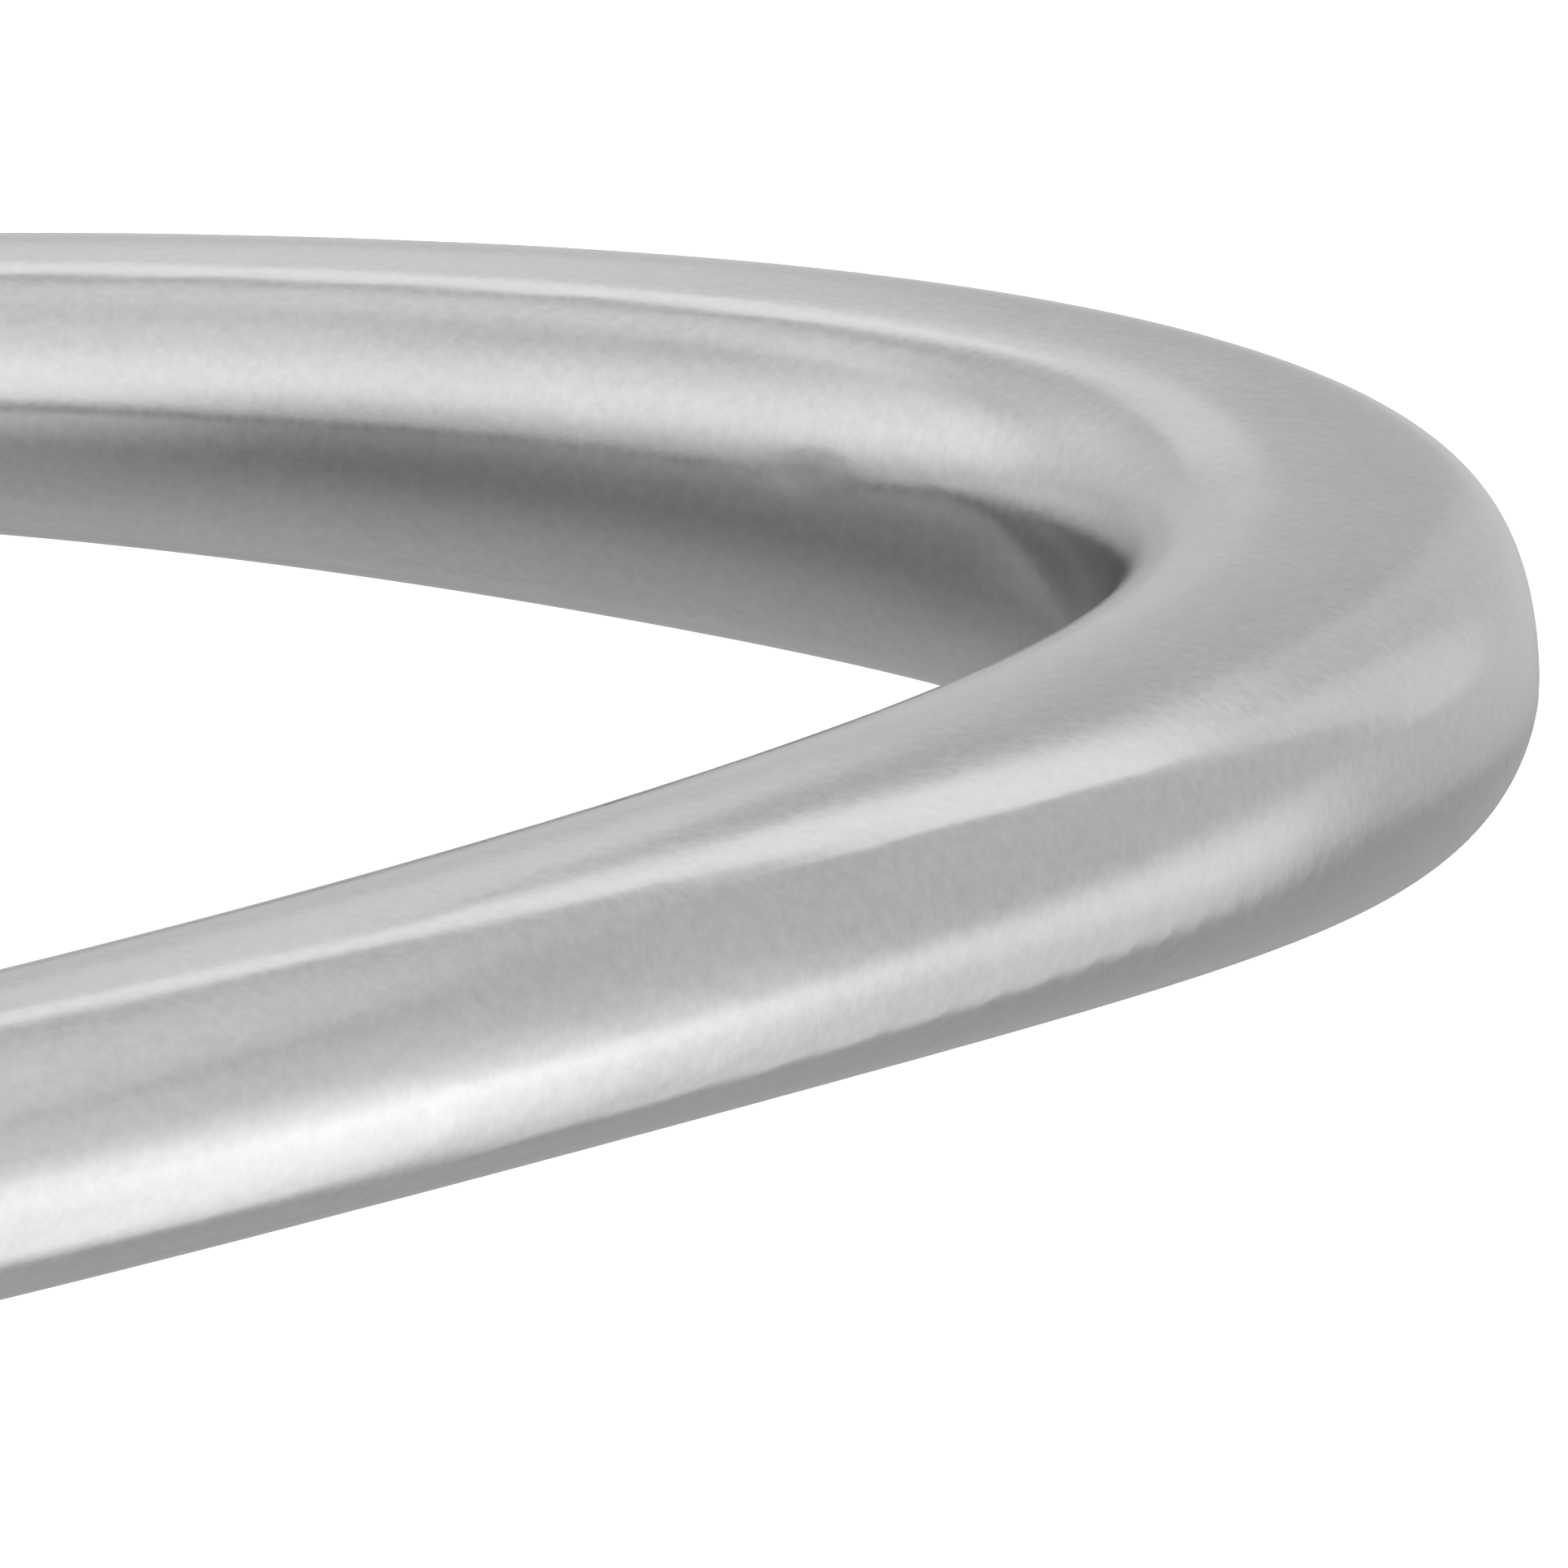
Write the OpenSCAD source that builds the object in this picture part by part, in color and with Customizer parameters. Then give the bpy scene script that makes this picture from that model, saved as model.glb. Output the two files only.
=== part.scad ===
// Swivelling thimble eye with a stud mounting.
// The swivel axis is X. X = 0 is the seat of the base collar, the eye reaches
// toward +X and the threaded shank toward -X. The eye lies flat in the XY plane.

/* [Eye] */
// Length of the bar centreline oval, along the swivel axis
eye_length = 100; // [90:1:115]
// Width of the bar centreline oval
eye_width = 53; // [50:1:60]
// Width of the bar at the bow, in the plane of the eye
bow_bar_width = 10; // [8:0.2:11]
// Depth of the bar at the bow, square to the plane of the eye
bow_bar_depth = 9; // [7:0.2:10]
// Width of the bar along the arms
arm_bar_width = 7.4; // [6:0.2:9]
// Depth of the bar along the arms
arm_bar_depth = 5; // [4:0.2:7]
// How far the bow's centre hangs below the arms
bow_drop = 5; // [0:0.5:6]

/* [Swivel] */
// Outer diameter of the hub
hub_diameter = 28; // [28:0.5:32]
// Outer diameter of the bolt head
head_diameter = 22; // [20:0.5:22]
// Radial running gap between the journal and the bushing
journal_gap = 0.04; // [0.02:0.01:0.1]

/* [Mounting] */
// Length of shank below the seat
shank_length = 40; // [20:1:80]
// Width across the two wrench flats of the collar
collar_flats = 22; // [20:0.5:25]

/* [Hidden] */

fine = 96;
// stations along X
collar_x = 10;              // top of the collar and shoulder of the bolt
thrust_t = 1.5;             // bronze thrust washer
hub_x0 = collar_x + thrust_t + 0.1;
hub_x1 = hub_x0 + 24;
hub_r = hub_diameter/2;
spigot_r = hub_r - 1;
spigot_x = hub_x1 - 2;
pocket_x = hub_x1 - 4;      // floor of the bearing pocket
pocket_r = 11.8;
washer_t = 1.5;
ball_r = 1.5;
ball_pcr = 9.3;
ball_n = 12;
race_r = 1.6;
ball_x = pocket_x + washer_t + 1.15;
shaft_w0 = ball_x + 1.15;
head_x0 = shaft_w0 + washer_t;
head_r = head_diameter/2;
head_x1 = head_x0 + 8.1;
cover_x1 = head_x0 + 3.1;
journal_r = 7;
bush_r = 8.5;
shank_r = 6;
relief_r = 5.1;             // thread relief under the seat
relief_w = 2.2;
nipple_x = hub_x0 + 8.4;
nipple_z = hub_r - 0.6;
pin_x = 5;                  // roll pin through the collar
// centreline oval of the bar, closed inside the hub
oval_a = eye_length/2;
oval_b = eye_width/2;
far_x = 20;
rings = 88;
sides = 20;
bow_reach = 35;             // arc length over which the bow section fades
root_reach = 19;            // arc length over which the hub root fades
function oval_p(i) = let(t = 360*i/rings)
    [far_x + oval_a + oval_a*cos(t), oval_b*sin(t)];
function oval_n(i) = let(t = 360*i/rings, v = [cos(t)/oval_a, sin(t)/oval_b])
    v/norm(v);
// arc length from the tip, and from the far end
arc = [for (i = 0, s = 0; i <= rings/2; s = s + norm(oval_p(i + 1) - oval_p(i)), i = i + 1) s];
half = arc[rings/2];
function arc_at(i) = i <= rings/2 ? arc[i] : arc[rings - i];
function bow_k(i) = exp(-pow(arc_at(i)/bow_reach, 2));
function root_k(i) = exp(-pow((half - arc_at(i))/root_reach, 2));
function bar_w(i) = arm_bar_width/2 + (bow_bar_width - arm_bar_width)/2*bow_k(i) + 2.6*root_k(i);
function bar_h(i) = arm_bar_depth/2 + (bow_bar_depth - arm_bar_depth)/2*bow_k(i) + 4.6*root_k(i);
function bar_z(i) = -bow_drop*bow_k(i);
function sgn_pow(v, p) = sign(v)*pow(abs(v), p);
square_p = 0.92;            // 1 is an ellipse, less is squarer
eye_pts = [for (i = [0:rings - 1]) for (j = [0:sides - 1])
    let(p = oval_p(i), n = oval_n(i), q = 360*j/sides,
        u = bar_w(i)*sgn_pow(cos(q), square_p), v = bar_h(i)*sgn_pow(sin(q), square_p))
    [p[0] + n[0]*u, p[1] + n[1]*u, bar_z(i) + v]];
eye_tris = [for (i = [0:rings - 1]) for (j = [0:sides - 1])
    let(a = i*sides + j, b = i*sides + (j + 1)%sides,
        c = ((i + 1)%rings)*sides + (j + 1)%sides, d = ((i + 1)%rings)*sides + j)
    each [[a, b, c], [a, c, d]]];

// profile points are [radius, x]
module lathe(pts) { rotate([0, 90, 0]) rotate_extrude($fn = fine) polygon(pts); }
module ring(x0, x1, r0, r1) { lathe([[r0, x0], [r1, x0], [r1, x1], [r0, x1]]); }
module rod_x(x0, x1, r) { translate([x0, 0, 0]) rotate([0, 90, 0]) cylinder(h = x1 - x0, r = r, $fn = fine); }
module rod_z(x, z0, z1, r) { translate([x, 0, z0]) cylinder(h = z1 - z0, r = r, $fn = 48); }

module thimble_eye() color("silver") difference() {
    union() {
        polyhedron(points = eye_pts, faces = eye_tris, convexity = 8);
        lathe([[0, hub_x0], [hub_r - 1.2, hub_x0], [hub_r, hub_x0 + 1.2], [hub_r, spigot_x],
               [spigot_r, spigot_x], [spigot_r, hub_x1], [0, hub_x1]]);
    }
    rod_x(hub_x0 - 10, pocket_x + 1, bush_r);
    rod_x(pocket_x, hub_x1 + 6, pocket_r);
    // tapped hole and spot face for the nipple
    rod_z(nipple_x, 0, hub_r + 4, 3);
    rod_z(nipple_x, nipple_z, hub_r + 4, 5);
}

module swivel_bolt() color("gainsboro") difference() {
    lathe([[0, -shank_length], [shank_r - 1.2, -shank_length], [shank_r, -shank_length + 1.2],
           [shank_r, -relief_w], [relief_r, -relief_w + 0.6], [relief_r, -0.4], [shank_r, 0.6], [shank_r, collar_x], [journal_r, collar_x], [journal_r, head_x0],
           [head_r - 0.5, head_x0], [head_r, head_x0 + 0.5], [head_r, head_x0 + 5.2],
           [head_r - 0.9, head_x0 + 6.6], [head_r - 2.6, head_x0 + 7.6], [head_r - 5, head_x1],
           [0, head_x1]]);
    // hexagon socket
    translate([head_x1 - 5, 0, 0]) rotate([0, 90, 0]) cylinder(h = 6, d = 8/cos(30), $fn = 6);
    // cross hole for the spring pin
    rod_z(pin_x, -20, 20, 1.5);
}

module hub_bushing() color("darkgoldenrod") difference() {
    lathe([[journal_r + journal_gap, hub_x0 + 0.3], [bush_r - 0.5, hub_x0 + 0.3],
           [bush_r, hub_x0 + 0.8], [bush_r, pocket_x], [journal_r + journal_gap, pocket_x]]);
    rod_z(nipple_x, 0, 12, 1.2);
}

module bearing_housing_washer() color("lightsteelblue") difference() {
    ring(pocket_x, pocket_x + washer_t, journal_r + 0.4, pocket_r);
    rotate([0, 90, 0]) rotate_extrude($fn = fine) translate([ball_pcr, ball_x]) circle(r = race_r, $fn = 48);
}

module bearing_shaft_washer() color("lightsteelblue") difference() {
    ring(shaft_w0, head_x0, journal_r, pocket_r - 0.5);
    rotate([0, 90, 0]) rotate_extrude($fn = fine) translate([ball_pcr, ball_x]) circle(r = race_r, $fn = 48);
}

module ball_cage() color("goldenrod") difference() {
    ring(ball_x - 0.8, ball_x + 0.8, journal_r + 0.35, pocket_r - 0.35);
    for (i = [0:ball_n - 1]) rotate([i*360/ball_n, 0, 0])
        translate([ball_x - 2, ball_pcr, 0]) rotate([0, 90, 0]) cylinder(h = 4, r = ball_r + 0.1, $fn = 48);
}

module bearing_ball(i) color("whitesmoke") rotate([i*360/ball_n, 0, 0])
    translate([ball_x, ball_pcr, 0]) sphere(r = ball_r, $fn = 48);

module bearing_cover() color("silver")
    lathe([[spigot_r, spigot_x], [hub_r, spigot_x], [hub_r, cover_x1 - 0.6], [hub_r - 0.6, cover_x1],
           [head_r + 0.4, cover_x1], [head_r + 0.4, cover_x1 - 1.2], [spigot_r, cover_x1 - 1.2]]);

module cover_seal() color("dimgray")
    lathe([[head_r + 0.5, cover_x1 - 2.6], [spigot_r, cover_x1 - 2.6], [spigot_r, cover_x1 - 1.2],
           [head_r + 0.1, cover_x1 - 1.2], [head_r + 0.1, cover_x1 - 1.7]]);

module grease_nipple() color("gainsboro") translate([nipple_x, 0, 0]) difference() {
    union() {
        translate([0, 0, 9.4]) cylinder(h = nipple_z - 9.4, r = 3, $fn = 48);
        translate([0, 0, nipple_z]) cylinder(h = 3, d = 7/cos(30), $fn = 6);
        rotate_extrude($fn = 48) polygon([[0, nipple_z + 3], [2.6, nipple_z + 3], [2.6, nipple_z + 4.2],
            [1.9, nipple_z + 4.9], [1.9, nipple_z + 6], [3.2, nipple_z + 7], [3.2, nipple_z + 7.8],
            [1.8, nipple_z + 9.6], [0, nipple_z + 9.6]]);
    }
    translate([0, 0, 8]) cylinder(h = nipple_z + 0.6, r = 1.3, $fn = 32);
    translate([0, 0, 8]) cylinder(h = nipple_z + 4, r = 0.8, $fn = 32);
}

module nipple_ball() color("whitesmoke") translate([nipple_x, 0, nipple_z + 7.3]) sphere(r = 1.25, $fn = 32);

module thrust_washer() color("darkgoldenrod") ring(collar_x, collar_x + thrust_t, journal_r + 0.1, 11);

module base_seal() color("dimgray")
    lathe([[11.2, collar_x], [12.6, collar_x], [12.9, collar_x + thrust_t], [12.4, collar_x + thrust_t], [11.6, collar_x + 0.7]]);

module base_collar() color("silver") difference() {
    intersection() {
        lathe([[shank_r, 0], [13.2, 0], [14, 0.8], [14, collar_x - 0.8], [13.2, collar_x], [shank_r, collar_x]]);
        translate([-1, -collar_flats/2, -20]) cube([collar_x + 2, collar_flats, 40]);
    }
    rod_z(pin_x, -20, 20, 1.5);
}

module collar_pin() color("gainsboro") difference() {
    rod_z(pin_x, -13, 13, 1.5);
    rod_z(pin_x, -14, 14, 0.8);
    translate([pin_x - 3, -0.2, -14]) cube([3, 0.4, 28]);
}

thimble_eye();
swivel_bolt();
hub_bushing();
bearing_housing_washer();
bearing_shaft_washer();
ball_cage();
bearing_ball(0);  // bearing_ball_01
bearing_ball(1);  // bearing_ball_02
bearing_ball(2);  // bearing_ball_03
bearing_ball(3);  // bearing_ball_04
bearing_ball(4);  // bearing_ball_05
bearing_ball(5);  // bearing_ball_06
bearing_ball(6);  // bearing_ball_07
bearing_ball(7);  // bearing_ball_08
bearing_ball(8);  // bearing_ball_09
bearing_ball(9);  // bearing_ball_10
bearing_ball(10);  // bearing_ball_11
bearing_ball(11);  // bearing_ball_12
bearing_cover();
cover_seal();
grease_nipple();
nipple_ball();
thrust_washer();
base_seal();
base_collar();
collar_pin();
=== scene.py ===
import bpy, bmesh, math
import numpy as np
from mathutils import Matrix, Vector


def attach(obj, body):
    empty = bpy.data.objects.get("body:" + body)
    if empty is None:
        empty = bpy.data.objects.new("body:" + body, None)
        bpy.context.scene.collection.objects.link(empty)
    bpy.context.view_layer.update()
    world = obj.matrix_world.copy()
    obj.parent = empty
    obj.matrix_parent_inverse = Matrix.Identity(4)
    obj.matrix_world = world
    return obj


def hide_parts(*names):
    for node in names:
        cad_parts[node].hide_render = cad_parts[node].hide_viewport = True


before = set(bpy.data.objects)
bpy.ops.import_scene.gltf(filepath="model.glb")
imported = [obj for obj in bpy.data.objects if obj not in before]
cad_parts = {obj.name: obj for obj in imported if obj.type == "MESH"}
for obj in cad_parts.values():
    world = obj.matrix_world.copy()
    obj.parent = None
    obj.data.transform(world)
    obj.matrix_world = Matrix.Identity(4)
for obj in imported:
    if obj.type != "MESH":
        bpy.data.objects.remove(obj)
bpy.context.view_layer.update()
MM = 0.001

# ---------------------------------------------------------------- the numbers of the CAD, in mm
A, B, FAR = 50.0, 26.5, 20.0            # centreline oval
W_BOW, H_BOW, W_ARM, H_ARM = 5.0, 4.5, 3.7, 2.5
DROP, REACH, ROOT = 5.0, 35.0, 19.0
SECTION = 2.0/0.92
HUB0, HUB1, HUB_R = 11.6, 35.6, 14.0
SPIGOT_R, SPIGOT_X = 13.0, 33.6
POCKET_X, POCKET_R, BUSH_R = 31.6, 11.8, 8.5
COLLAR_X, JOURNAL_R, SHANK_R, SHANK_L = 10.0, 7.0, 6.0, 40.0
HEAD0, HEAD_R, HEAD1 = 36.9, 11.0, 45.0
NIP_X, NIP_Z = 20.0, 13.4
PIN_X, RELIEF_R, RELIEF_W = 5.0, 5.1, 2.2

# ---------------------------------------------------------------- camera, from the outlines in the photo
UNIT = 5.0
E, AZ, RHO = 0.3190, -0.6883, 0.0
TX, TY, LTZ, LF = 441.5186, -557.8764, 3.7196, 9.3
tz, F = math.exp(LTZ), math.exp(LF)
right = Vector((math.cos(AZ), math.sin(AZ), 0))
fwd = Vector((-math.sin(AZ)*math.cos(E), math.cos(AZ)*math.cos(E), -math.sin(E)))
up = right.cross(fwd)
tip = Vector((FAR + 2*A, 0, 0))
cam_at = tip - UNIT*((TX/F*tz)*right + (-TY/F*tz)*up + tz*fwd)
cam_data = bpy.data.cameras.new("camera")
cam = bpy.data.objects.new("camera", cam_data)
bpy.context.scene.collection.objects.link(cam)
cam_data.sensor_fit = "HORIZONTAL"
cam_data.sensor_width = 36.0
cam_data.lens = F*36.0/1932.0
cam_data.clip_start, cam_data.clip_end = 0.01, 30.0
m = Matrix.Identity(4)
for r in range(3):
    m[r][0], m[r][1], m[r][2] = right[r], up[r], -fwd[r]
    m[r][3] = cam_at[r]*MM
cam.matrix_world = m
bpy.context.scene.camera = cam

# ---------------------------------------------------------------- small mesh helpers
def link(name, mesh):
    o = bpy.data.objects.new(name, mesh)
    bpy.context.scene.collection.objects.link(o)
    return o

def mesh_of(name, verts, faces):
    me = bpy.data.meshes.new(name)
    me.from_pydata([tuple(v) for v in np.asarray(verts, float)*MM], [], [tuple(int(i) for i in f) for f in faces])
    me.update()
    return me

def grid_faces(n, k, close_n, close_k):
    f = []
    for i in range(n if close_n else n - 1):
        for j in range(k if close_k else k - 1):
            a, b = i*k + j, i*k + (j + 1) % k
            c, d = ((i + 1) % n)*k + (j + 1) % k, ((i + 1) % n)*k + j
            f.append((a, b, c, d))
    return f

def tidy(me, smooth=True):
    bm = bmesh.new(); bm.from_mesh(me)
    bmesh.ops.recalc_face_normals(bm, faces=bm.faces)
    bm.to_mesh(me); bm.free()
    me.polygons.foreach_set("use_smooth", [smooth]*len(me.polygons))
    me.update()

def lathe_mesh(name, prof, n=192, closed=True):
    """prof is a list of (radius, x); the solid turns about X."""
    v = []
    for r, x in prof:
        for j in range(n):
            q = 2*math.pi*j/n
            v.append((x, r*math.cos(q), r*math.sin(q)))
    f = grid_faces(len(prof), n, closed, True)
    me = mesh_of(name, v, f)
    tidy(me)
    return me

def rounded(prof, rad, steps=4, closed=True):
    """Rounds the corners of a profile with arcs of radius rad (or a list of radii)."""
    out = []
    n = len(prof)
    for i, p in enumerate(prof):
        rr = rad[i] if isinstance(rad, (list, tuple)) else rad
        if (not closed and i in (0, n - 1)) or rr <= 0:
            out.append(tuple(p)); continue
        p0, p1, p2 = (np.array(prof[(i - 1) % n], float), np.array(p, float), np.array(prof[(i + 1) % n], float))
        a, b = p0 - p1, p2 - p1
        la, lb = np.linalg.norm(a), np.linalg.norm(b)
        a /= la; b /= lb
        half = math.acos(max(-1, min(1, float(a @ b))))/2
        if abs(half - math.pi/2) < 1e-3:
            out.append(tuple(p)); continue
        d = min(rr/math.tan(half), la*0.45, lb*0.45)
        for k in range(steps + 1):
            t = k/steps
            q = (1 - t)**2*(p1 + a*d) + 2*t*(1 - t)*p1 + t*t*(p1 + b*d)
            out.append((float(q[0]), float(q[1])))
    return out

def evaluated(o):
    dg = bpy.context.evaluated_depsgraph_get()
    me = bpy.data.meshes.new_from_object(o.evaluated_get(dg))
    return me

def boolean(o, cutter, op="DIFFERENCE"):
    mod = o.modifiers.new("cut", "BOOLEAN")
    mod.operation, mod.solver, mod.object = op, "EXACT", cutter
    me = evaluated(o)
    o.modifiers.remove(mod)
    old = o.data
    o.data = me
    bpy.data.meshes.remove(old)
    bpy.data.objects.remove(cutter)

def sharp_by_angle(me, deg=32.0):
    me.polygons.foreach_set("use_smooth", [True]*len(me.polygons))
    bm = bmesh.new(); bm.from_mesh(me)
    lim = math.radians(deg)
    for e in bm.edges:
        e.smooth = len(e.link_faces) != 2 or e.calc_face_angle(0.0) < lim
    bm.to_mesh(me); bm.free()
    me.update()

def one_skin(o):
    """Welds the cut edges and keeps only the one connected skin."""
    bm = bmesh.new(); bm.from_mesh(o.data)
    bmesh.ops.remove_doubles(bm, verts=bm.verts, dist=1.5e-6)
    bmesh.ops.dissolve_degenerate(bm, edges=bm.edges, dist=2e-7)
    left, best = set(bm.verts), []
    while left:
        start = next(iter(left))
        seen, todo = {start}, [start]
        while todo:
            for e in todo.pop().link_edges:
                for w in e.verts:
                    if w not in seen:
                        seen.add(w); todo.append(w)
        left -= seen
        if len(seen) > len(best): best = seen
    bmesh.ops.delete(bm, geom=[w for w in bm.verts if w not in best], context="VERTS")
    bm.to_mesh(o.data); bm.free()
    o.data.update()

# ---------------------------------------------------------------- the forged eye as one smooth field
tt = np.linspace(0, 2*math.pi, 4001)
ds = np.hypot(-A*np.sin(tt), B*np.cos(tt))
arc_t = np.concatenate([[0], np.cumsum((ds[1:] + ds[:-1])/2*(tt[1] - tt[0]))])
TOTAL = arc_t[-1]

def section_at(t):
    s = np.interp(np.mod(t, 2*math.pi), tt, arc_t)
    s = np.minimum(s, TOTAL - s)
    g = np.exp(-(s/REACH)**2)
    rt = np.exp(-((TOTAL/2 - s)/ROOT)**2)
    return W_ARM + (W_BOW - W_ARM)*g + 2.6*rt, H_ARM + (H_BOW - H_ARM)*g + 4.6*rt, -DROP*g

def f_bar(p):
    x, y, z = p[:, 0] - FAR - A, p[:, 1], p[:, 2]
    t = np.arctan2(y/B, x/A)
    for _ in range(6):
        c, s = np.cos(t), np.sin(t)
        dx, dy = A*c - x, B*s - y
        g = dx*(-A*s) + dy*(B*c)
        h = A*A*s*s + B*B*c*c + dx*(-A*c) + dy*(-B*s)
        h = np.where(h < 20.0, 20.0, h)
        t = t - np.clip(g/h, -0.3, 0.3)
    c, s = np.cos(t), np.sin(t)
    n = np.stack([c/A, s/B], 1); n /= np.linalg.norm(n, axis=1)[:, None]
    u = (x - A*c)*n[:, 0] + (y - B*s)*n[:, 1]
    w, h, zc = section_at(t)
    bow = -zc/DROP
    v = z - zc
    pe = SECTION + 0.9*bow*np.clip(v/h, 0, 1)          # the bow is flatter on its top face
    q = ((np.abs(u)/w)**pe + (np.abs(v)/h)**pe)**(1/pe)
    # two soft forging ridges wind round the outer side of each arm and die out at the bow
    along = np.interp(np.mod(t, 2*math.pi), tt, arc_t)
    along = np.minimum(along, TOTAL - along)
    phi = np.arctan2(v/h, u/w)
    step = lambda a, b: np.clip((along - a)/(b - a), 0, 1)**2*(3 - 2*np.clip((along - a)/(b - a), 0, 1))
    for start, turn, amp, on, off in ((23.0, 1.28, 0.050, (12, 30), (66, 84)), (-8.5, -0.50, 0.040, (6, 22), (56, 80))):
        d = phi - np.radians(start + (np.minimum(along, 66) - 22)*turn)
        q = q/(1 + amp*step(*on)*(1 - step(*off))*(np.exp(-np.sqrt(d*d + 0.0036)/0.30) - 0.25))
    rad = np.hypot(u, v)
    return np.where(q > 0.05, rad*(1 - 1/np.maximum(q, 0.05)), -np.minimum(w, h))

def f_hub(p):
    r = np.hypot(p[:, 1], p[:, 2])
    half, mid, rc = (HUB1 - HUB0)/2 + 1.5, (HUB0 + HUB1)/2, 2.0
    dx, dr = np.abs(p[:, 0] - mid) - (half - rc), r - (HUB_R - rc)
    return np.minimum(np.maximum(dx, dr), 0) + np.hypot(np.maximum(dx, 0), np.maximum(dr, 0)) - rc

def f_eye(p, k=5.0):
    a, b = f_bar(p), f_hub(p)
    h = np.clip(0.5 + 0.5*(b - a)/k, 0, 1)
    return b*(1 - h) + a*h - k*h*(1 - h)

def gradient(p, e=0.01):
    g = np.empty_like(p)
    for a in range(3):
        d = np.zeros(3); d[a] = e
        g[:, a] = (f_eye(p + d) - f_eye(p - d))/(2*e)
    return g

def eye_mesh():
    rings, sides = 360, 48
    t = 2*math.pi*np.arange(rings)/rings
    w, h, zc = section_at(t)
    n = np.stack([np.cos(t)/A, np.sin(t)/B], 1); n /= np.linalg.norm(n, axis=1)[:, None]
    q = 2*math.pi*np.arange(sides)/sides
    pw = 2/SECTION
    cu = np.sign(np.cos(q))*np.abs(np.cos(q))**pw
    sv = np.sign(np.sin(q))*np.abs(np.sin(q))**pw
    P = np.empty((rings, sides, 3))
    P[:, :, 0] = (FAR + A + A*np.cos(t))[:, None] + n[:, :1]*w[:, None]*cu[None]
    P[:, :, 1] = (B*np.sin(t))[:, None] + n[:, 1:]*w[:, None]*cu[None]
    P[:, :, 2] = zc[:, None] + h[:, None]*sv[None]
    bar = link("eye_bar_tmp", mesh_of("eye_bar_tmp", P.reshape(-1, 3), grid_faces(rings, sides, True, True)))
    tidy(bar.data)
    hub = link("eye_hub_tmp", lathe_mesh("eye_hub_tmp", rounded([(0.3, HUB0 - 1.5), (HUB_R, HUB0 - 1.5), (HUB_R, HUB1 + 1.5), (0.3, HUB1 + 1.5)], 2.0), 128))
    # joined and remeshed to one skin, then each point is put on the smooth field
    bm = bmesh.new()
    bm.from_mesh(bar.data); bm.from_mesh(hub.data)
    me = bpy.data.meshes.new("eye_join"); bm.to_mesh(me); bm.free()
    o = link("eye_join", me)
    mod = o.modifiers.new("skin", "REMESH")
    mod.mode, mod.voxel_size, mod.adaptivity = "VOXEL", 0.345*MM, 0.0
    me2 = evaluated(o)
    bpy.data.objects.remove(o); bpy.data.objects.remove(bar); bpy.data.objects.remove(hub)
    co = np.empty(len(me2.vertices)*3); me2.vertices.foreach_get("co", co)
    p = co.reshape(-1, 3)/MM
    # the skin also closes round the hollow inside of the joined shells: keep only the outside
    for _ in range(7):
        f, g = f_eye(p), gradient(p)
        gg = np.maximum((g*g).sum(1), 0.05)
        step = np.clip(f/gg, -0.5, 0.5)[:, None]*g
        p = p - step
    me2.vertices.foreach_set("co", (p*MM).reshape(-1))
    me2.update()
    return me2

def box_obj(name, lo, hi):
    bm = bmesh.new()
    bmesh.ops.create_cube(bm, size=1.0)
    for v in bm.verts:
        for a in range(3):
            v.co[a] = (lo[a] if v.co[a] < 0 else hi[a])*MM
    me = bpy.data.meshes.new(name); bm.to_mesh(me); bm.free()
    return link(name, me)

def rod(name, start, end, r, n=96):
    start, end = Vector(start), Vector(end)
    d = end - start
    bm = bmesh.new()
    bmesh.ops.create_cone(bm, cap_ends=True, segments=n, radius1=r*MM, radius2=r*MM, depth=d.length*MM)
    me = bpy.data.meshes.new(name); bm.to_mesh(me); bm.free()
    o = link(name, me)
    o.matrix_world = Matrix.Translation((start + end)/2*MM) @ d.to_track_quat("Z", "Y").to_matrix().to_4x4()
    return o

eye = link("eye_forging", eye_mesh())
# machined faces: ends, spigot, bore, pocket, spot face
def cut_lathe(prof, n=256):
    c = link("cutter", lathe_mesh("cutter", prof, n))
    boolean(eye, c)
cut_lathe([(0.05, HUB0 - 8), (HUB_R + 3, HUB0 - 8), (HUB_R + 3, HUB0 - 2), (HUB_R + 0.4, HUB0 + 1.3), (HUB_R - 1.1, HUB0), (0.05, HUB0)])
cut_lathe([(0.05, HUB1), (SPIGOT_R, HUB1), (SPIGOT_R, SPIGOT_X), (HUB_R + 0.45, SPIGOT_X), (HUB_R + 0.45, HUB1 + 8), (0.05, HUB1 + 8)])
cut_lathe([(0.02, HUB0 - 9), (BUSH_R, HUB0 - 9), (BUSH_R, POCKET_X), (POCKET_R, POCKET_X), (POCKET_R, HUB1 + 9), (0.02, HUB1 + 9)])
boolean(eye, rod("cutter", (NIP_X, 0, NIP_Z), (NIP_X, 0, NIP_Z + 6), 5.0))
boolean(eye, rod("cutter", (NIP_X, 0, 3), (NIP_X, 0, NIP_Z + 3), 3.0, 64))
one_skin(eye)
sharp_by_angle(eye.data, 30)

# ---------------------------------------------------------------- materials
def new_mat(name):
    mt = bpy.data.materials.new(name)
    mt.use_nodes = True
    nt = mt.node_tree
    nt.nodes.clear()
    out = nt.nodes.new("ShaderNodeOutputMaterial")
    sh = nt.nodes.new("ShaderNodeBsdfPrincipled")
    nt.links.new(sh.outputs[0], out.inputs[0])
    return mt, nt, sh

def noise(nt, vec, scale, detail=3.0, rough=0.5, kind="FBM"):
    n = nt.nodes.new("ShaderNodeTexNoise")
    n.noise_dimensions = "3D"
    n.inputs["Scale"].default_value = scale
    n.inputs["Detail"].default_value = detail
    n.inputs["Roughness"].default_value = rough
    nt.links.new(vec, n.inputs["Vector"])
    return n.outputs["Fac"]

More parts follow.
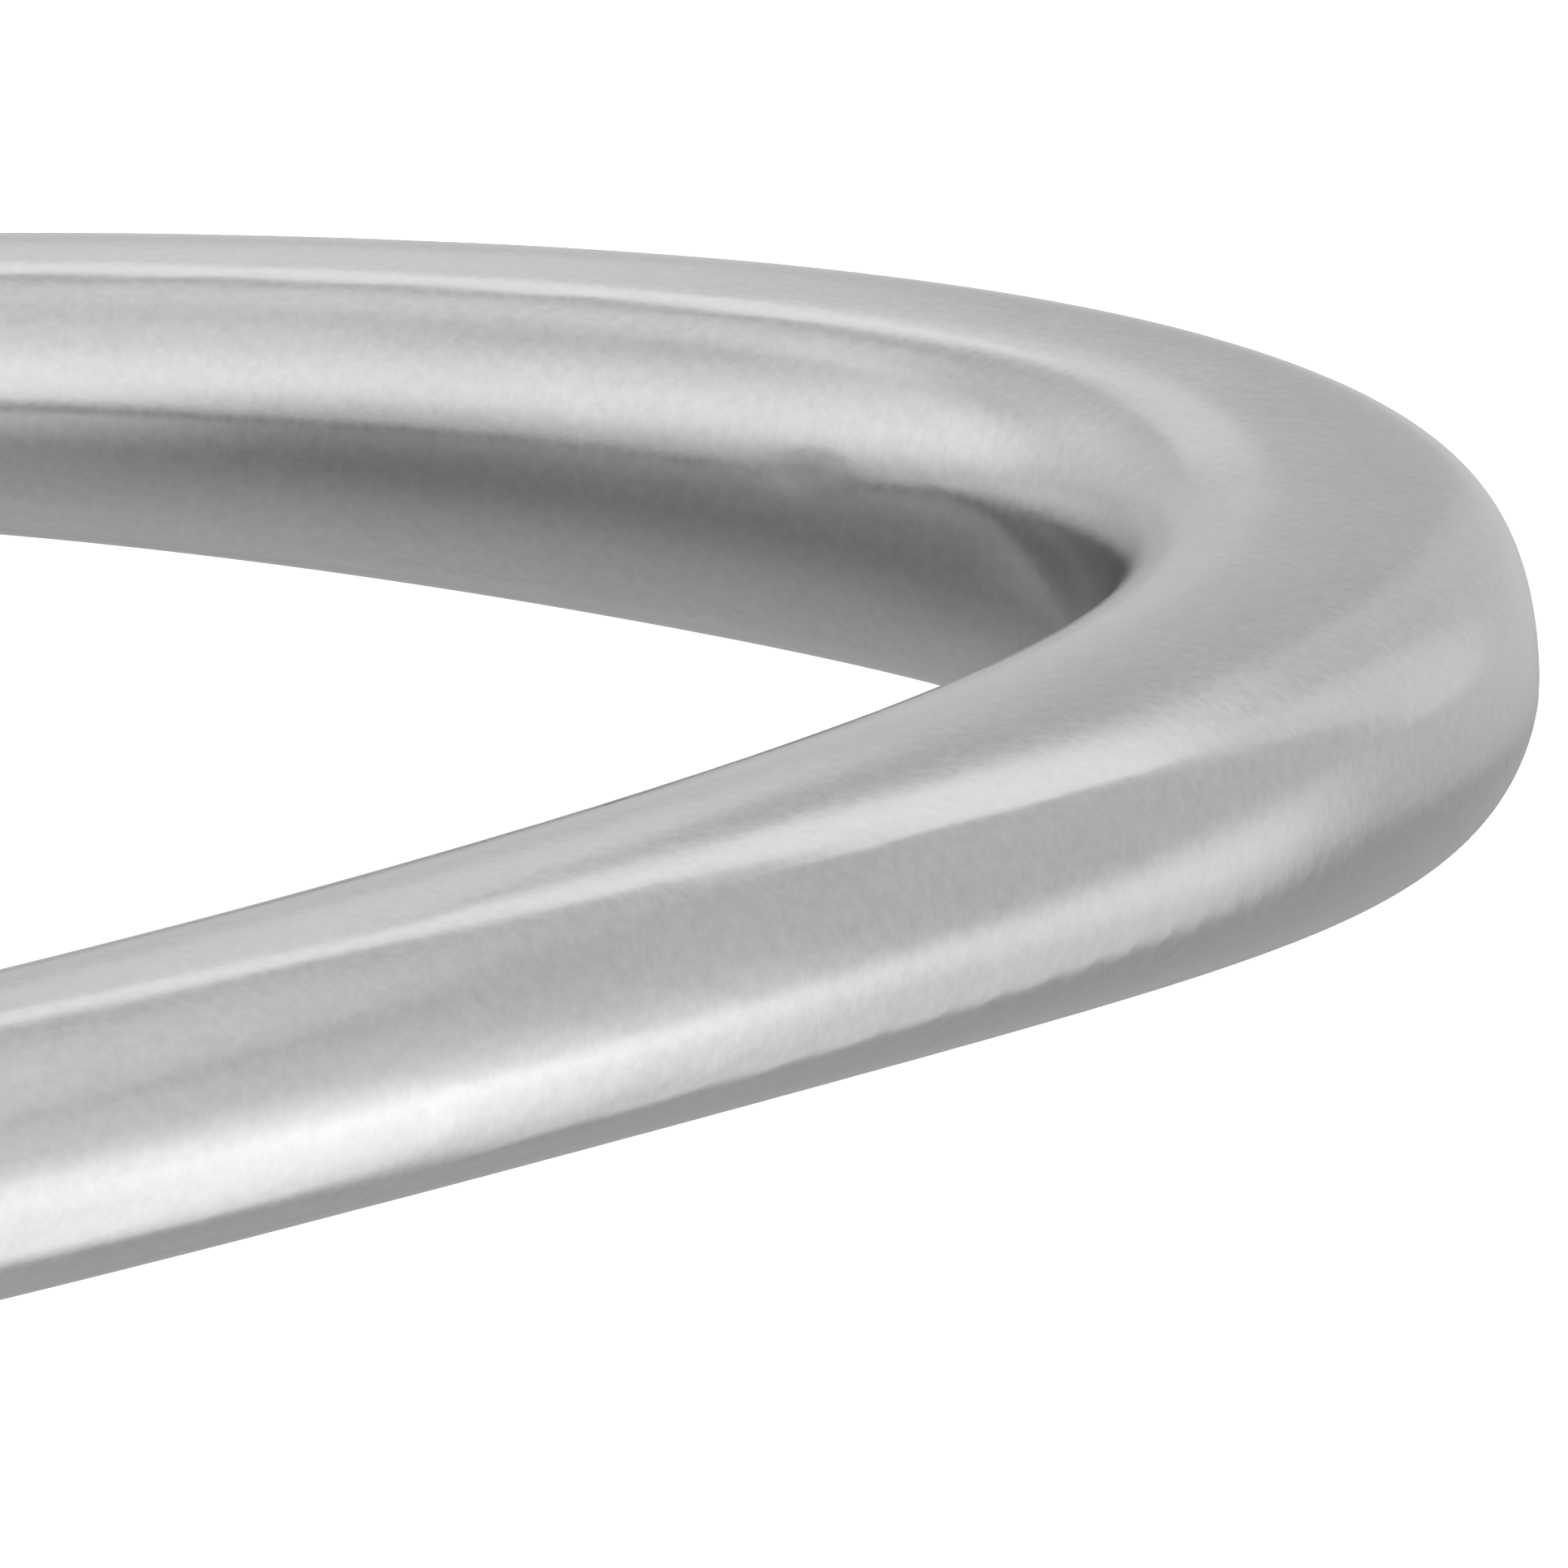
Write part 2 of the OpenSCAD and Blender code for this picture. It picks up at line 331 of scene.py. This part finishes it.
def ramp(nt, fac, stops):
    r = nt.nodes.new("ShaderNodeValToRGB")
    el = r.color_ramp.elements
    while len(el) > 1: el.remove(el[-1])
    el[0].position, el[0].color = stops[0][0], (*stops[0][1], 1)
    for pos, c in stops[1:]:
        e = el.new(pos); e.color = (*c, 1)
    nt.links.new(fac, r.inputs[0])
    return r.outputs[0]

def maprange(nt, v, a, b, c, d):
    n = nt.nodes.new("ShaderNodeMapRange")
    n.inputs["From Min"].default_value, n.inputs["From Max"].default_value = a, b
    n.inputs["To Min"].default_value, n.inputs["To Max"].default_value = c, d
    nt.links.new(v, n.inputs["Value"])
    return n.outputs[0]

def bump(nt, height, strength, dist, prev=None):
    b = nt.nodes.new("ShaderNodeBump")
    b.inputs["Strength"].default_value = strength
    b.inputs["Distance"].default_value = dist
    nt.links.new(height, b.inputs["Height"])
    if prev: nt.links.new(prev, b.inputs["Normal"])
    return b.outputs[0]

def obj_coord(nt):
    return nt.nodes.new("ShaderNodeTexCoord").outputs["Object"]

def edge_wear(nt, lo=0.52, hi=0.60):
    g = nt.nodes.new("ShaderNodeNewGeometry")
    return maprange(nt, g.outputs["Pointiness"], lo, hi, 0.0, 1.0)

def satin_metal(name, base, rough, grain=9000.0, grain_amt=1.0, mottle=0.03, rough_var=0.05, fleck=0.03):
    """Tumbled or blasted metal: fine pits, cloudy roughness and a little wear on edges."""
    mt, nt, sh = new_mat(name)
    v = obj_coord(nt)
    sh.inputs["Metallic"].default_value = 1.0
    cloud = noise(nt, v, 260.0, 4.0, 0.6)
    fine = noise(nt, v, grain, 3.0, 0.65)
    pits = noise(nt, v, grain*0.45, 4.0, 0.7)
    c0 = tuple(x*(1 - mottle) for x in base); c1 = tuple(min(1, x*(1 + mottle)) for x in base)
    col = ramp(nt, cloud, [(0.3, c0), (0.7, c1)])
    tint = nt.nodes.new("ShaderNodeVectorMath"); tint.operation = "SCALE"
    nt.links.new(col, tint.inputs[0])
    nt.links.new(maprange(nt, pits, 0.32, 0.66, 1 - fleck, 1 + fleck), tint.inputs["Scale"])
    nt.links.new(tint.outputs[0], sh.inputs["Base Color"])
    r1 = maprange(nt, cloud, 0.3, 0.7, rough - rough_var, rough + rough_var)
    add = nt.nodes.new("ShaderNodeMath"); add.operation = "MULTIPLY_ADD"
    nt.links.new(pits, add.inputs[0]); add.inputs[1].default_value = 0.10
    nt.links.new(r1, add.inputs[2])
    wear = edge_wear(nt)
    sub = nt.nodes.new("ShaderNodeMath"); sub.operation = "MULTIPLY_ADD"
    nt.links.new(wear, sub.inputs[0]); sub.inputs[1].default_value = -0.08
    nt.links.new(add.outputs[0], sub.inputs[2])
    nt.links.new(sub.outputs[0], sh.inputs["Roughness"])
    b1 = bump(nt, pits, 0.5*grain_amt, 0.000008)
    b2 = bump(nt, fine, 0.5*grain_amt, 0.000005, b1)
    nt.links.new(b2, sh.inputs["Normal"])
    return mt

def turned_metal(name, base, rough, axis=(1, 0, 0), lines=5200.0, amt=0.5):
    """Turned about X: fine rings across the axis plus cloudy roughness."""
    mt, nt, sh = new_mat(name)
    v = obj_coord(nt)
    sh.inputs["Metallic"].default_value = 1.0
    sep = nt.nodes.new("ShaderNodeSeparateXYZ"); nt.links.new(v, sep.inputs[0])
    yz = nt.nodes.new("ShaderNodeMath"); yz.operation = "MULTIPLY"
    nt.links.new(sep.outputs[1], yz.inputs[0]); nt.links.new(sep.outputs[1], yz.inputs[1])
    zz = nt.nodes.new("ShaderNodeMath"); zz.operation = "MULTIPLY_ADD"
    nt.links.new(sep.outputs[2], zz.inputs[0]); nt.links.new(sep.outputs[2], zz.inputs[1]); nt.links.new(yz.outputs[0], zz.inputs[2])
    rr = nt.nodes.new("ShaderNodeMath"); rr.operation = "SQRT"; nt.links.new(zz.outputs[0], rr.inputs[0])
    comb = nt.nodes.new("ShaderNodeCombineXYZ")
    nt.links.new(sep.outputs[0], comb.inputs[0]); nt.links.new(rr.outputs[0], comb.inputs[1])
    line = noise(nt, comb.outputs[0], lines, 3.0, 0.6)
    cloud = noise(nt, v, 300.0, 4.0, 0.6)
    fine = noise(nt, v, 7000.0, 2.0, 0.6)
    col = ramp(nt, cloud, [(0.3, tuple(x*0.94 for x in base)), (0.7, tuple(min(1, x*1.04) for x in base))])
    nt.links.new(col, sh.inputs["Base Color"])
    r1 = maprange(nt, cloud, 0.3, 0.7, rough - 0.05, rough + 0.06)
    a = nt.nodes.new("ShaderNodeMath"); a.operation = "MULTIPLY_ADD"
    nt.links.new(line, a.inputs[0]); a.inputs[1].default_value = 0.14; nt.links.new(r1, a.inputs[2])
    wear = edge_wear(nt)
    s = nt.nodes.new("ShaderNodeMath"); s.operation = "MULTIPLY_ADD"
    nt.links.new(wear, s.inputs[0]); s.inputs[1].default_value = -0.1; nt.links.new(a.outputs[0], s.inputs[2])
    nt.links.new(s.outputs[0], sh.inputs["Roughness"])
    b1 = bump(nt, line, amt, 0.000008)
    b2 = bump(nt, fine, 0.25, 0.000004, b1)
    nt.links.new(b2, sh.inputs["Normal"])
    return mt

def rubber(name, base):
    mt, nt, sh = new_mat(name)
    v = obj_coord(nt)
    cloud = noise(nt, v, 500.0, 4.0, 0.6)
    fine = noise(nt, v, 6000.0, 3.0, 0.6)
    nt.links.new(ramp(nt, cloud, [(0.3, tuple(x*0.8 for x in base)), (0.72, tuple(x*1.35 for x in base))]), sh.inputs["Base Color"])
    nt.links.new(maprange(nt, cloud, 0.3, 0.7, 0.55, 0.72), sh.inputs["Roughness"])
    nt.links.new(bump(nt, fine, 0.4, 0.00001), sh.inputs["Normal"])
    return mt

M_EYE = satin_metal("forged_satin", (0.61, 0.61, 0.602), 0.125, 7500.0, 0.32, 0.02, 0.02, 0.052)
M_COLLAR = turned_metal("collar_steel", (0.63, 0.63, 0.62), 0.26)
M_TURNED = turned_metal("turned_steel", (0.66, 0.66, 0.65), 0.22)
M_BRIGHT = satin_metal("bright_steel", (0.66, 0.66, 0.655), 0.22, 11000.0, 0.7)
M_GROUND = turned_metal("ground_steel", (0.72, 0.72, 0.73), 0.10, lines=9000.0, amt=0.2)
M_BRONZE = turned_metal("bronze", (0.56, 0.36, 0.15), 0.24)
M_BRASS = turned_metal("cage_brass", (0.68, 0.49, 0.20), 0.22)
M_RUBBER = rubber("seal_rubber", (0.022, 0.022, 0.024))

def dress(o, mt):
    o.data.materials.clear()
    o.data.materials.append(mt)

dress(eye, M_EYE)
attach(eye, "eye"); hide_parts("thimble_eye")

node_mats = {"hub_bushing": M_BRONZE, "bearing_housing_washer": M_GROUND, "bearing_shaft_washer": M_GROUND,
             "ball_cage": M_BRASS, "bearing_cover": M_TURNED, "cover_seal": M_RUBBER, "grease_nipple": M_BRIGHT,
             "nipple_ball": M_GROUND, "thrust_washer": M_BRONZE, "base_seal": M_RUBBER, "base_collar": M_COLLAR,
             "collar_pin": M_BRIGHT, "swivel_bolt": M_TURNED}
for i in range(1, 13): node_mats["bearing_ball_%02d" % i] = M_GROUND
for n, mt in node_mats.items():
    dress(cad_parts[n], mt)

# ---------------------------------------------------------------- the bolt, with its thread and socket
def bolt_mesh():
    n, pitch, depth, run_out = 144, 1.75, 1.07, -1.6
    # rows follow the helix, so crest and root stay crisp; both ends are clamped to a plain ring
    turn = [(-0.062, 0.05), (-0.045, 0), (0.045, 0), (0.062, 0.05), (0.236, 0.50), (0.410, 0.95), (0.44, 1), (0.56, 1), (0.59, 0.95), (0.764, 0.50)]
    k, turns, x0 = len(turn), 25, -SHANK_L - 1.2*pitch
    q = 2*math.pi*np.arange(n)/n
    grid = []
    for m in range(turns):
        for place, deep in turn:
            x = np.clip(x0 + pitch*(m + place) + pitch*np.arange(n)/n, -SHANK_L, run_out)
            r = np.full(n, SHANK_R - depth*deep)
            r = np.minimum(r, SHANK_R - 1.25 + (x + SHANK_L))
            far = np.maximum(0.0, run_out - x)
            r = np.maximum(np.minimum(r, RELIEF_R + far), RELIEF_R - far)
            grid.append(np.stack([x, r*np.cos(q), r*np.sin(q)], 1))
    f = []
    for i in range(len(grid) - 1):
        for j in range(n - 1):
            f.append((i*n + j, i*n + j + 1, (i + 1)*n + j + 1, (i + 1)*n + j))
        if i + k + 1 < len(grid):
            f.append((i*n + n - 1, (i + k)*n, (i + k + 1)*n, (i + 1)*n + n - 1))
    rows = []
    def lat(r, x): rows.append(np.stack([np.full(n, x), r*np.cos(q), r*np.sin(q)], 1))
    for r, x in ((RELIEF_R, run_out), (RELIEF_R, -0.4), (SHANK_R, 0.6), (SHANK_R, COLLAR_X - 0.01)):
        lat(r, x)
    prof = rounded([(SHANK_R, COLLAR_X), (JOURNAL_R, COLLAR_X), (JOURNAL_R, HEAD0), (HEAD_R, HEAD0), (HEAD_R, HEAD0 + 5.2),
                    (HEAD_R - 2.6, HEAD1 - 0.5), (HEAD_R - 5, HEAD1), (0.02, HEAD1)],
                   [0, 0.2, 0.0, 0.5, 2.2, 2.4, 2.0, 0], 6, closed=False)
    for r, x in prof: lat(r, x)
    at = len(grid)*n
    m = len(rows)
    f += [tuple(at + c for c in q4) for q4 in grid_faces(m, n, False, True)]
    f.append(tuple(range(at + (m - 1)*n, at + m*n)))
    lat(SHANK_R - 1.25, -SHANK_L)
    f.append(tuple(range(at + m*n, at + (m + 1)*n)))
    me = mesh_of("bolt", np.concatenate(grid + rows), f)
    bm = bmesh.new(); bm.from_mesh(me)
    bmesh.ops.remove_doubles(bm, verts=bm.verts, dist=1e-6)
    bmesh.ops.dissolve_degenerate(bm, edges=bm.edges, dist=1e-7)
    bm.to_mesh(me); bm.free()
    tidy(me)
    return me

bolt = link("bolt_turned", bolt_mesh())
hexa = rod("cutter", (HEAD1 - 5, 0, 0), (HEAD1 + 1, 0, 0), 4/math.cos(math.radians(30)), 6)
boolean(bolt, hexa)
boolean(bolt, rod("cutter", (PIN_X, 0, -20), (PIN_X, 0, 20), 1.5, 48))
one_skin(bolt)
sharp_by_angle(bolt.data, 35)
dress(bolt, M_TURNED)
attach(bolt, "base"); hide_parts("swivel_bolt")

# ---------------------------------------------------------------- studio: pale floor, soft light
def floor():
    zf = -0.16
    s = 6.0
    me = bpy.data.meshes.new("floor")
    me.from_pydata([(-s, -s, zf), (s, -s, zf), (s, s, zf), (-s, s, zf)], [], [(0, 1, 2, 3)])
    o = link("floor", me)
    mt, nt, sh = new_mat("floor_white")
    c = noise(nt, obj_coord(nt), 40.0, 3.0, 0.5)
    nt.links.new(ramp(nt, c, [(0.3, (0.93, 0.93, 0.93)), (0.7, (0.95, 0.95, 0.95))]), sh.inputs["Base Color"])
    sh.inputs["Roughness"].default_value = 0.9
    sh.inputs["Specular IOR Level"].default_value = 0.1
    sh.inputs["Emission Color"].default_value = (1, 1, 1, 1)
    sh.inputs["Emission Strength"].default_value = 0.35
    o.data.materials.append(mt)
    o.visible_glossy = False
floor()

# A light tent round the part: softboxes overhead and to the right, a darker side in front.
# Each row is a sector: its weight along the azimuth and its brightness up the elevation.
fh = Vector((fwd.x, fwd.y, 0)).normalized()
rh = Vector((right.x, right.y, 0)).normalized()
SECTORS = [
    ([(-180, 1), (-85, 1), (-55, 0), (156, 0), (170, 1), (180, 1)],
     [(-90, .50), (-60, .42), (-45, .37), (-30, .29), (-18, .23), (-8, .27), (0, .40), (9, .74), (18, 1.08), (28, 1.18), (40, 1.10), (50, 1.02), (60, .92), (75, .76), (90, .74)]),
    ([(-85, 0), (-55, 1), (-35, 1), (-12, 0)],
     [(-90, .50), (-45, .42), (-20, .26), (-8, .40), (5, .68), (20, .84), (32, .88), (45, .74), (55, .76), (66, 1.0), (90, .76)]),
    ([(-35, 0), (-12, 1), (80, 1), (106, 0)],
     [(-90, .52), (-60, .51), (-50, .48), (-42, .43), (-26, .43), (-19, .45), (-15, .62), (-10, .67), (14, .66), (26, .68), (41, .66), (47, .64), (52, .82), (60, .91), (70, .92), (90, .76)]),
    ([(80, 0), (106, 1), (118, 1), (135, 0)],
     [(-90, .54), (-62, .80), (-45, 1.12), (-30, 1.28), (-10, 1.50), (0, 1.40), (10, 1.08), (24, .88), (45, .88), (62, .94), (90, .76)]),
    ([(118, 0), (135, 1), (156, 1), (170, 0)],
     [(-90, .50), (-50, .42), (-22, .40), (-8, .66), (2, 1.08), (14, 1.24), (32, 1.20), (50, 1.0), (66, .94), (90, .76)]),
]
world = bpy.data.worlds.new("world")
bpy.context.scene.world = world
world.use_nodes = True
wn = world.node_tree
bg = wn.nodes["Background"]
def wmath(op, a, b=None):
    n = wn.nodes.new("ShaderNodeMath"); n.operation = op
    for i, v in enumerate((a, b)):
        if v is None: continue
        if isinstance(v, (int, float)): n.inputs[i].default_value = v
        else: wn.links.new(v, n.inputs[i])
    return n.outputs[0]
tc = wn.nodes.new("ShaderNodeTexCoord")
def wdot(vec):
    n = wn.nodes.new("ShaderNodeVectorMath"); n.operation = "DOT_PRODUCT"
    wn.links.new(tc.outputs["Generated"], n.inputs[0]); n.inputs[1].default_value = vec
    return n.outputs["Value"]
w_right, w_back, w_up = wdot(rh), wdot(fh), wdot((0, 0, 1))
w_az = wmath("ADD", wmath("DIVIDE", wmath("ARCTAN2", w_right, w_back), 2*math.pi), 0.5)
w_el = wmath("ADD", wmath("DIVIDE", wmath("ARCSINE", w_up), math.pi), 0.5)
def wramp(fac, stops, f):
    r = wn.nodes.new("ShaderNodeValToRGB")
    r.color_ramp.interpolation = "B_SPLINE" if f == "smooth" else "LINEAR"
    el = r.color_ramp.elements
    while len(el) > 1: el.remove(el[-1])
    for i, (pos, v) in enumerate(stops):
        e = el[0] if i == 0 else el.new(pos)
        e.position = pos
        e.color = (v, v, v, 1)
    wn.links.new(fac, r.inputs[0])
    return r.outputs[0]
total = None
for weights, heights in SECTORS:
    a = wramp(w_az, [((q + 180)/360, v) for q, v in weights], "linear")
    h = wramp(w_el, [((q + 90)/180, v) for q, v in heights], "linear")
    prod = wmath("MULTIPLY", a, h)
    total = prod if total is None else wmath("ADD", total, prod)
# a square softbox behind the eye, with soft edges
def band(v, lo, hi, soft):
    up_ = wn.nodes.new("ShaderNodeMapRange"); up_.interpolation_type = "SMOOTHSTEP"
    up_.inputs["From Min"].default_value, up_.inputs["From Max"].default_value = lo - soft, lo + soft
    wn.links.new(v, up_.inputs["Value"])
    dn = wn.nodes.new("ShaderNodeMapRange"); dn.interpolation_type = "SMOOTHSTEP"
    dn.inputs["From Min"].default_value, dn.inputs["From Max"].default_value = hi - soft, hi + soft
    dn.inputs["To Min"].default_value, dn.inputs["To Max"].default_value = 1.0, 0.0
    wn.links.new(v, dn.inputs["Value"])
    return wmath("MULTIPLY", up_.outputs[0], dn.outputs[0])
def patch(az0, az1, el0, el1, soft, gain):
    return wmath("MULTIPLY", wmath("MULTIPLY", band(w_az, (az0 + 180)/360, (az1 + 180)/360, soft/360),
                                   band(w_el, (el0 + 90)/180, (el1 + 90)/180, soft/180)), gain)
for q in ((-4, 45, 27, 41, 1.5, .50), (34, 48, -4, 27, 2.5, .18), (-9, 1.45, 12.5, 27, 1.0, .20),
          (58, 104, -50, -7, 6.0, .46), (2.5, 15, -2, 24, 2.5, -.10)):
    total = wmath("ADD", total, patch(*q))
comb = wn.nodes.new("ShaderNodeCombineColor")
for i in range(3): wn.links.new(total, comb.inputs[i])
wn.links.new(comb.outputs[0], bg.inputs[0])
bg.inputs[1].default_value = 1.0
bpy.context.scene.view_settings.view_transform = "Standard"
